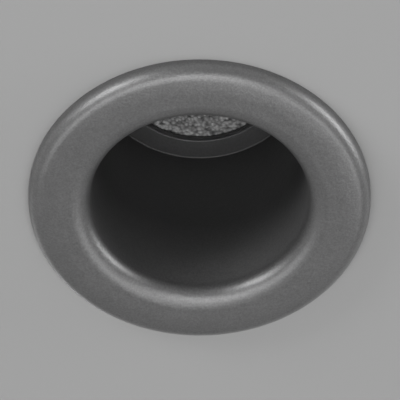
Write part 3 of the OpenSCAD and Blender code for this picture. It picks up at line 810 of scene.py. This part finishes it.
class MakeTrim(bpy.types.Operator):
    """Turn the trim and its throat in one piece, add its gussets, pads and lugs, and coat it"""

    bl_idname = "recessed_light.make_trim"
    bl_label = "Trim"

    def execute(self, context):
        s = context.scene.recessed_light.trim
        trim = turned("trim", trim_outline(s))
        tube = s.throat_radius + s.wall
        rib = gusset(s, tube)
        extras = [copied(rib, "gusset", turn_about_z(360 / GUSSETS * (i + 0.5))) for i in range(GUSSETS)]
        bpy.data.objects.remove(rib)
        ear = lug("lug", s, tube - OVERLAP, TRIM_HIGH.z - s.lug_height, TRIM_HIGH.z)
        slope = math.radians(s.lug_slope)
        foot = (s.lug_circle - s.lug_radius - FOOT_INSET, 0, TRIM_HIGH.z - s.lug_height)
        sliced(ear, foot, (math.sin(slope), 0, -math.cos(slope)))
        rounded(ear, CAST_EDGE)
        extras += [copied(ear, "lug", turn_about_z(angle)) for angle in LUG_ANGLES]
        bpy.data.objects.remove(ear)
        extras += [rounded(bracket_pad(side, tube), PAD_EDGE) for side in SIDES]
        combine(trim, [joined(extras, "extras")], "UNION")
        close_up(trim)
        sand_coat(s).on(trim)
        stand_in(trim, "trim_housing")
        return {"FINISHED"}


def bezel_outline(s):
    """The bezel's section, from the top of the lip round its face and up to the flange."""
    face, top, seat = BEZEL_LOW.z, BEZEL_HIGH.z, TRIM_HIGH.z
    lip_top, rounding, edge = face + s.lip, face + s.edge_radius, s.flange_edge
    narrow = s.outer_radius - s.relief
    return [
        (s.lip_radius, lip_top),
        *arc((s.lip_radius + s.edge_radius, rounding), s.edge_radius, 180, 270, 8),
        *arc((s.outer_radius - s.edge_radius, rounding), s.edge_radius, 270, 360, 8),
        (s.outer_radius, face + s.band), (narrow, face + s.band + s.relief), (narrow, seat),
        *arc((s.flange_radius - edge, seat + edge), edge, 270, 360, 4),
        *arc((s.flange_radius - edge, top - edge), edge, 0, 90, 4),
        (s.bore_radius, top), (s.bore_radius, lip_top),
    ]


class MakeBezel(bpy.types.Operator):
    """Turn the bezel that holds the lens, with its flange and lugs"""

    bl_idname = "recessed_light.make_bezel"
    bl_label = "Bezel"

    def execute(self, context):
        s, trim = context.scene.recessed_light.bezel, context.scene.recessed_light.trim
        bezel = turned("bezel", bezel_outline(s))
        ear = lug("lug", trim, s.flange_radius - 2 * OVERLAP, TRIM_HIGH.z, BEZEL_HIGH.z)
        rounded(ear, s.flange_edge)
        ears = [copied(ear, "lug", turn_about_z(angle)) for angle in LUG_ANGLES]
        bpy.data.objects.remove(ear)
        combine(bezel, [joined(ears, "ears")], "UNION")
        close_up(bezel)
        smooth_coat(s).on(bezel)
        stand_in(bezel, "lens_bezel")
        return {"FINISHED"}


def lens_outline(s):
    """The lens's section: a finely ringed face, chamfered rims and a plain back."""
    low, high, radius = LENS_LOW.z, LENS_HIGH.z, LENS_HIGH.x
    rim = radius - s.chamfer
    rings = round(rim / s.ring_pitch)
    return [
        (0, low), *stretch((0, low), (rim, low), rings), (rim, low), (radius, low + s.chamfer),
        (radius, high - s.chamfer), (rim, high), (0, high),
    ]


class MakeLens(bpy.types.Operator):
    """Turn the lens and press pebbles into its face"""

    bl_idname = "recessed_light.make_lens"
    bl_label = "Lens"

    def execute(self, context):
        s = context.scene.recessed_light.lens
        lens = turned("lens_pebbled", lens_outline(s), LENS_STEPS)
        for vertex in lens.data.vertices:
            in_face = math.hypot(vertex.co.x, vertex.co.y) < LENS_HIGH.x - 2 * s.chamfer
            vertex.select = in_face and vertex.co.z < LENS_LOW.z + MERGE_DISTANCE
        group = lens.vertex_groups.new(name="face")
        group.add([vertex.index for vertex in lens.data.vertices if vertex.select], 1, "REPLACE")
        pebbles = bpy.data.textures.new("pebbles", "VORONOI")
        pebbles.noise_scale = s.pebble_size
        modify(
            lens, "DISPLACE", texture=pebbles, texture_coords="LOCAL", direction="Z",
            mid_level=0, strength=s.pebble_depth, vertex_group="face",
        )
        close_up(lens, PEBBLE_SMOOTH_ANGLE)
        pebbled_glass(s).on(lens)
        stand_in(lens, "lens")
        return {"FINISHED"}


class MakeSeals(bpy.types.Operator):
    """Finish the foam seal, the lens seal and the gaskets"""

    bl_idname = "recessed_light.make_seals"
    bl_label = "Seals"

    def execute(self, context):
        foam().on(softened("ceiling_gasket", SOFT_EDGE))
        low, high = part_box("lens_seal")
        bore, inset = context.scene.recessed_light.lens.seal_radius, 0.15 * MM
        seal = turned("lens_seal_rounded", [
            (high.x, low.z), (bore + inset, low.z), (bore, low.z + inset),
            (bore, high.z - inset), (bore + inset, high.z), (high.x, high.z),
        ])
        stand_in(seal, "lens_seal")
        rubber("seal_rubber").on(seal, "base_gasket", "gland_washer", "gland_seal")
        pads = [softened(f"arm_pad_{side}", SOFT_EDGE) for side in SIDES]
        rubber("pad_rubber", (0.03, 0.03, 0.03)).on(*pads)
        return {"FINISHED"}


class MakeEngine(bpy.types.Operator):
    """Finish the reflector, the holder, the board and the light-emitting spot"""

    bl_idname = "recessed_light.make_engine"
    bl_label = "LED engine"

    def execute(self, context):
        bright_reflector().on("reflector")
        white_plastic().on("led_holder")
        board_mask().on("led_board")
        light_spot().on("led_phosphor")
        thermal_silicone().on("thermal_pad")
        zinc("holder_screw_zinc").on("holder_screws")
        return {"FINISHED"}


class MakeHeatSink(bpy.types.Operator):
    """Round the heat sink's edges, give it its cast skin and plate its screws"""

    bl_idname = "recessed_light.make_heat_sink"
    bl_label = "Heat sink"

    def execute(self, context):
        cast_metal().on(softened("heat_sink", CAST_EDGE))
        zinc("engine_screw_zinc").on(softened("heat_sink_screws", SCREW_EDGE))
        return {"FINISHED"}


class MakeGland(bpy.types.Operator):
    """Round the cable gland's body and nut"""

    bl_idname = "recessed_light.make_gland"
    bl_label = "Cable gland"

    def execute(self, context):
        black_plastic().on(softened("gland_body", MOULDED_EDGE), softened("gland_nut", MOULDED_EDGE))
        return {"FINISHED"}


# The zinc-plated pieces of a clip and the round-overs on their edges
PLATED = {
    "clip_bracket": PLATE_EDGE,
    "clip_arm": PLATE_EDGE,
    "clip_pin": SCREW_EDGE,
    "bracket_screws": SCREW_EDGE,
}


class MakeClips(bpy.types.Operator):
    """Round the pressed brackets and arms, and plate the pins and screws"""

    bl_idname = "recessed_light.make_clips"
    bl_label = "Clips"

    def execute(self, context):
        plate, wire = zinc(), spring_wire()
        for side in SIDES:
            for kind, edge in PLATED.items():
                plate.on(softened(f"{kind}_{side}", edge))
            wire.on(f"pin_ring_{side}")
        return {"FINISHED"}


def spring_route(s, side):
    """Centreline of one spring: a leg up the bracket, the coil and a leg along the arm."""
    lean = math.radians(s.rest_angle)
    sweep = 2 * math.pi * s.turns + QUARTER - lean
    steps = int(sweep / TURN_STEP)
    route = [
        Vector((-s.coil_radius, -s.half_width, s.leg * k / LEG_STEPS)) for k in range(LEG_STEPS, 0, -1)
    ]
    for i in range(steps + 1):
        angle = math.pi + sweep * i / steps
        across = s.half_width * (2 * i / steps - 1)
        route.append(Vector((s.coil_radius * math.cos(angle), across, s.coil_radius * math.sin(angle))))
    out = Vector((math.cos(lean), 0, -math.sin(lean)))
    last = route[-1]
    route += [last + out * s.leg * k / LEG_STEPS for k in range(1, LEG_STEPS + 1)]
    turn = Matrix.Rotation(0 if SIDES[side] > 0 else math.pi, 4, "Z")
    return [hinge(side) + turn @ point for point in route]


class MakeSprings(bpy.types.Operator):
    """Wind the torsion springs at the clips' hinges"""

    bl_idname = "recessed_light.make_springs"
    bl_label = "Springs"

    def execute(self, context):
        settings = context.scene.recessed_light.spring
        finish = spring_wire()
        for side, sign in SIDES.items():
            route = spring_route(settings, side)
            curve = bpy.data.curves.new(f"spring_{side}", "CURVE")
            curve.dimensions = "3D"
            curve.bevel_depth = settings.wire / 2
            curve.bevel_resolution = 3
            curve.use_fill_caps = True
            spline = curve.splines.new("POLY")
            spline.points.add(len(route) - 1)
            for point, place in zip(spline.points, route):
                point.co = (*place, 1)
            spring = bpy.data.objects.new(f"spring_{side}", curve)
            context.collection.objects.link(spring)
            activate(spring)
            bpy.ops.object.convert(target="MESH")
            spring = close_up(context.object)
            finish.on(spring)
            node = f"clip_spring_{side}"
            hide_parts(node)
            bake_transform(spring)
        return {"FINISHED"}


def one_sided(name, colour, camera_only):
    """Paint that shows only on the side that its plane faces, and is clear from behind."""
    finish = Finish(name, roughness=0.9)
    finish.set("Base Color", tuple(colour))
    geometry = finish.node("ShaderNodeNewGeometry")
    shown = 1 - Signal(finish, geometry.outputs["Backfacing"])
    if camera_only:
        path = finish.node("ShaderNodeLightPath")
        shown = shown * Signal(finish, path.outputs["Is Camera Ray"])
    clear = finish.node("ShaderNodeBsdfTransparent")
    mix = finish.node("ShaderNodeMixShader")
    finish.tree.links.new(shown.socket, mix.inputs[0])
    finish.tree.links.new(clear.outputs[0], mix.inputs[1])
    finish.tree.links.new(finish.shader.outputs[0], mix.inputs[2])
    finish.tree.links.new(mix.outputs[0], finish.output.inputs["Surface"])
    return finish


def sheet(name, outer, height, bore=0, downwards=False):
    """A round flat sheet, or a flat ring, that faces up or down."""
    deselect()
    bpy.ops.mesh.primitive_circle_add(
        vertices=ROUND_STEPS, radius=outer, fill_type="NGON", location=(0, 0, height)
    )
    piece = settle(bpy.context.object, name)
    bpy.ops.object.mode_set(mode="EDIT")
    bpy.ops.mesh.select_all(action="SELECT")
    if bore:
        bpy.ops.mesh.inset(thickness=outer - bore, depth=0)
        bpy.ops.mesh.delete(type="FACE")
        bpy.ops.mesh.select_all(action="SELECT")
    if downwards:
        bpy.ops.mesh.flip_normals()
    bpy.ops.object.mode_set(mode="OBJECT")
    return piece


# Soft lamps on a sphere round the light. Two windows and the room stand where the photo's highlights show
# them, the low lamps graze the trim along the ceiling, the far ones lift its face, and the loft lamps light
# the back. Each row: degrees round the axis, degrees from straight below, half width and half height in
# degrees, strength
LAMPS = {
    "window_left": (-135, 25, 22, 9, 0.5),
    "window_right": (-60, 33, 13, 5, 0.25),
    "room": (-40, 10, 30, 17, 0.7),
    "low_right": (-10, 85, 18, 4, 0.95),
    "low_left": (-140, 75, 14, 8, 0.95),
    "far_left": (170, 40, 10, 10, 0.2),
    "far_right": (35, 40, 10, 10, 0.2),
    "loft_key": (-50, 140, 14, 14, 1.3),
    "loft_fill": (120, 125, 14, 14, 0.5),
}


def lamp(name, turn, lean, half_width, half_height, strength, distance):
    """A soft lamp that faces the light and gives the strength that is asked at any distance."""
    turn, lean = math.radians(turn), math.radians(lean)
    out = Vector((math.sin(lean) * math.cos(turn), math.sin(lean) * math.sin(turn), -math.cos(lean)))
    data = bpy.data.lights.new(name, "AREA")
    data.shape = "RECTANGLE"
    data.size = 2 * distance * math.tan(math.radians(half_width))
    data.size_y = 2 * distance * math.tan(math.radians(half_height))
    data.energy = 4 * strength * distance**2
    item = bpy.data.objects.new(name, data)
    item.location = out * distance
    item.rotation_euler = out.to_track_quat("Z", "Y").to_euler()
    item.visible_camera = False
    bpy.context.scene.collection.objects.link(item)


def sky(room_light, loft_light):
    """Even light, of one level from below the horizon and of another from above it."""
    world = bpy.data.worlds.new("surround")
    bpy.context.scene.world = world
    world.use_nodes = True
    nodes, links = world.node_tree.nodes, world.node_tree.links
    way = nodes.new("ShaderNodeTexCoord")
    split = nodes.new("ShaderNodeSeparateXYZ")
    step = nodes.new("ShaderNodeMapRange")
    links.new(way.outputs["Generated"], split.inputs[0])
    links.new(split.outputs["Z"], step.inputs["Value"])
    limits = {"From Min": -HORIZON, "From Max": HORIZON, "To Min": room_light, "To Max": loft_light}
    for socket, value in limits.items():
        step.inputs[socket].default_value = value
    background = nodes["Background"]
    background.inputs["Color"].default_value = (1, 1, 1, 1)
    links.new(step.outputs["Result"], background.inputs["Strength"])


class MakeStage(bpy.types.Operator):
    """Set the ceiling, the pale floor, the camera and the lamps"""

    bl_idname = "recessed_light.make_stage"
    bl_label = "Stage"

    def execute(self, context):
        s = context.scene.recessed_light.stage
        ceiling = sheet("ceiling", CEILING_RADIUS, 2 * SHEET_GAP, CEILING_HOLE, downwards=True)
        one_sided("ceiling_paint", s.ceiling_colour, True).on(ceiling)
        collar = sheet("ceiling_collar", COLLAR_RADIUS, SHEET_GAP, TRIM_HIGH.y, downwards=True)
        one_sided("collar_paint", s.ceiling_colour, False).on(collar)
        floor = sheet("floor", FLOOR_RADIUS, TRIM_LOW.z - 4 * SHEET_GAP)
        one_sided("floor_paint", s.floor_colour, True).on(floor)

        tilt = math.radians(s.camera_tilt)
        back = Vector((0, -math.sin(tilt), -math.cos(tilt)))
        camera = bpy.data.objects.new("camera", bpy.data.cameras.new("camera"))
        camera.data.sensor_width = SENSOR_WIDTH
        camera.data.lens = s.focal_length
        camera.data.clip_end = FARTHEST_VIEW
        camera.data.shift_x, camera.data.shift_y = s.lens_shift
        camera.location = back * s.camera_distance + Vector((0, s.camera_shift, 0))
        camera.rotation_euler = (math.pi - tilt, 0, 0)
        context.scene.collection.objects.link(camera)
        context.scene.camera = camera

        for name, values in LAMPS.items():
            lamp(name, *values, s.lamp_distance)
        sky(s.room_light, s.loft_light)
        context.scene.view_settings.view_transform = "Standard"
        return {"FINISHED"}


class LightPanel(bpy.types.Panel):
    """Lists the light's operators"""

    bl_idname = "VIEW3D_PT_recessed_light"
    bl_label = "Recessed Light"
    bl_space_type = "VIEW_3D"
    bl_region_type = "UI"
    bl_category = "Recessed Light"

    def draw(self, context):
        for maker in MAKERS:
            self.layout.operator(maker.bl_idname)


MAKERS = (
    MakeStage, MakeTrim, MakeBezel, MakeLens, MakeSeals, MakeEngine,
    MakeHeatSink, MakeGland, MakeClips, MakeSprings,
)
CLASSES = (
    TrimSettings, BezelSettings, LensSettings, SpringSettings, StageSettings, LightSettings,
    *MAKERS, LightPanel,
)


def register():
    for item in CLASSES:
        bpy.utils.register_class(item)
    bpy.types.Scene.recessed_light = bpy.props.PointerProperty(type=LightSettings)


def unregister():
    del bpy.types.Scene.recessed_light
    for item in reversed(CLASSES):
        bpy.utils.unregister_class(item)


def main():
    register()
    bpy.ops.recessed_light.make_stage()
    bpy.ops.recessed_light.make_trim()
    bpy.ops.recessed_light.make_bezel()
    bpy.ops.recessed_light.make_lens()
    bpy.ops.recessed_light.make_seals()
    bpy.ops.recessed_light.make_engine()
    bpy.ops.recessed_light.make_heat_sink()
    bpy.ops.recessed_light.make_gland()
    bpy.ops.recessed_light.make_clips()
    bpy.ops.recessed_light.make_springs()


if __name__ == "__main__":
    main()
